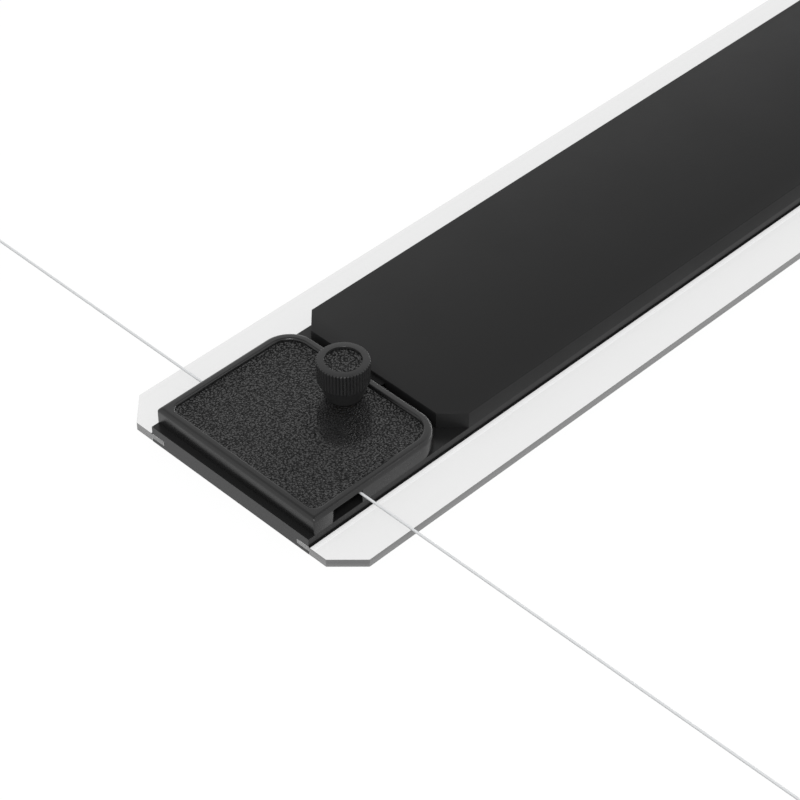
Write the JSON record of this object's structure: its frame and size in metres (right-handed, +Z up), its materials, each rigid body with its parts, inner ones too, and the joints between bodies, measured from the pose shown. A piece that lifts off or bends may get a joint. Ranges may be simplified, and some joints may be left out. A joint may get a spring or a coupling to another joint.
{
  "type": "parallel straightedge",
  "caption": "Parallel straightedge: a long black blade with clear edges, guided across a drawing board by crossed wires over pulleys in its end caps, with a brake knob at each end.",
  "frame": {"origin": "under the middle of the blade, on the plane that its glide pads rest on", "axes": "+X along the blade, away from the pictured end; +Y to the back of the board; +Z up"},
  "size_m": [0.762, 0.4146, 0.0262],
  "materials": {
    "core_black": "matt black laminate",
    "cover_black": "satin black",
    "cap_black": "glossy black with a grained panel",
    "knob_black": "satin black, knurled",
    "clear_acrylic": "clear, polished",
    "steel": "zinc plated",
    "bearing_steel": "ground",
    "brass": "turned",
    "white_nylon": "natural white",
    "pale_nylon": "natural",
    "brake_rubber": "hard rubber",
    "coated_wire": "pale grey coating"
  },
  "bodies": {
    "board_anchors": {"near_rear_bracket": "steel", "near_front_bracket": "steel", "far_rear_bracket": "steel", "far_front_bracket": "steel", "near_rear_terminal": "brass", "near_front_terminal": "brass", "far_rear_terminal": "brass", "far_front_terminal": "brass", "near_rear_wire": "coated_wire", "near_front_wire": "coated_wire", "far_rear_wire": "coated_wire", "far_front_wire": "coated_wire"},
    "blade": {"core_board": "core_black", "rear_clear_edge": "clear_acrylic", "front_clear_edge": "clear_acrylic", "centre_cover": "cover_black", "wire_bridge": "pale_nylon", "inner_wire_over": "coated_wire", "inner_wire_under": "coated_wire", "near_end_cap": "cap_black", "far_end_cap": "cap_black", "near_pulley_plate": "steel", "far_pulley_plate": "steel", "near_brake_bush": "brass", "far_brake_bush": "brass", "near_rear_axle": "steel", "near_front_axle": "steel", "far_rear_axle": "steel", "far_front_axle": "steel", "near_rear_bearing_inner_ring": "bearing_steel", "near_front_bearing_inner_ring": "bearing_steel", "far_rear_bearing_inner_ring": "bearing_steel", "far_front_bearing_inner_ring": "bearing_steel", "near_rear_cap_screw": "steel", "near_front_cap_screw": "steel", "far_rear_cap_screw": "steel", "far_front_cap_screw": "steel", "near_rear_glide_pad": "white_nylon", "near_front_glide_pad": "white_nylon", "far_rear_glide_pad": "white_nylon", "far_front_glide_pad": "white_nylon"},
    "near_rear_wheel": {"near_rear_pulley": "white_nylon", "near_rear_bearing_outer_ring": "bearing_steel", "near_rear_ball_ring": "bearing_steel"},
    "near_front_wheel": {"near_front_pulley": "white_nylon", "near_front_bearing_outer_ring": "bearing_steel", "near_front_ball_ring": "bearing_steel"},
    "far_rear_wheel": {"far_rear_pulley": "white_nylon", "far_rear_bearing_outer_ring": "bearing_steel", "far_rear_ball_ring": "bearing_steel"},
    "far_front_wheel": {"far_front_pulley": "white_nylon", "far_front_bearing_outer_ring": "bearing_steel", "far_front_ball_ring": "bearing_steel"},
    "near_knob": {"near_brake_knob": "knob_black", "near_brake_stud": "steel"},
    "far_knob": {"far_brake_knob": "knob_black", "far_brake_stud": "steel"},
    "near_shoe": {"near_brake_shoe": "brake_rubber"},
    "far_shoe": {"far_brake_shoe": "brake_rubber"}
  },
  "joints": [
    {"name": "blade_travel", "type": "slide", "parent": "board_anchors", "child": "blade", "axis": [0, 1, 0], "range_m": [-0.16, 0.096], "deforming": ["near_rear_wire", "near_front_wire", "far_rear_wire", "far_front_wire"]},
    {"name": "near_rear_wheel_spin", "type": "hinge", "parent": "blade", "child": "near_rear_wheel", "pos_m": [-0.34925, 0.014, 0.0097], "axis": [0, 0, 1], "continuous": true},
    {"name": "near_front_wheel_spin", "type": "hinge", "parent": "blade", "child": "near_front_wheel", "pos_m": [-0.34925, -0.014, 0.0097], "axis": [0, 0, 1], "continuous": true},
    {"name": "far_rear_wheel_spin", "type": "hinge", "parent": "blade", "child": "far_rear_wheel", "pos_m": [0.34925, 0.014, 0.0097], "axis": [0, 0, 1], "continuous": true},
    {"name": "far_front_wheel_spin", "type": "hinge", "parent": "blade", "child": "far_front_wheel", "pos_m": [0.34925, -0.014, 0.0097], "axis": [0, 0, 1], "continuous": true},
    {"name": "near_brake_turn", "type": "hinge", "parent": "blade", "child": "near_knob", "pos_m": [-0.33355, -0.00085, 0.01225], "axis": [0, 0, -1], "range_deg": [0, 240]},
    {"name": "far_brake_turn", "type": "hinge", "parent": "blade", "child": "far_knob", "pos_m": [0.33355, 0.00085, 0.01225], "axis": [0, 0, -1], "range_deg": [0, 240]},
    {"name": "near_shoe_lift", "type": "slide", "parent": "blade", "child": "near_shoe", "axis": [0, 0, 1], "range_m": [0, 0.000466]},
    {"name": "far_shoe_lift", "type": "slide", "parent": "blade", "child": "far_shoe", "axis": [0, 0, 1], "range_m": [0, 0.000466]}
  ],
  "couplings": [
    {"joint": "near_rear_wheel_spin", "follows": "blade_travel", "rad_per_m": 100},
    {"joint": "near_front_wheel_spin", "follows": "blade_travel", "rad_per_m": 100},
    {"joint": "far_rear_wheel_spin", "follows": "blade_travel", "rad_per_m": -100},
    {"joint": "far_front_wheel_spin", "follows": "blade_travel", "rad_per_m": -100},
    {"joint": "near_brake_turn", "follows": "near_shoe_lift", "rad_per_m": 8976},
    {"joint": "far_brake_turn", "follows": "far_shoe_lift", "rad_per_m": 8976}
  ]
}
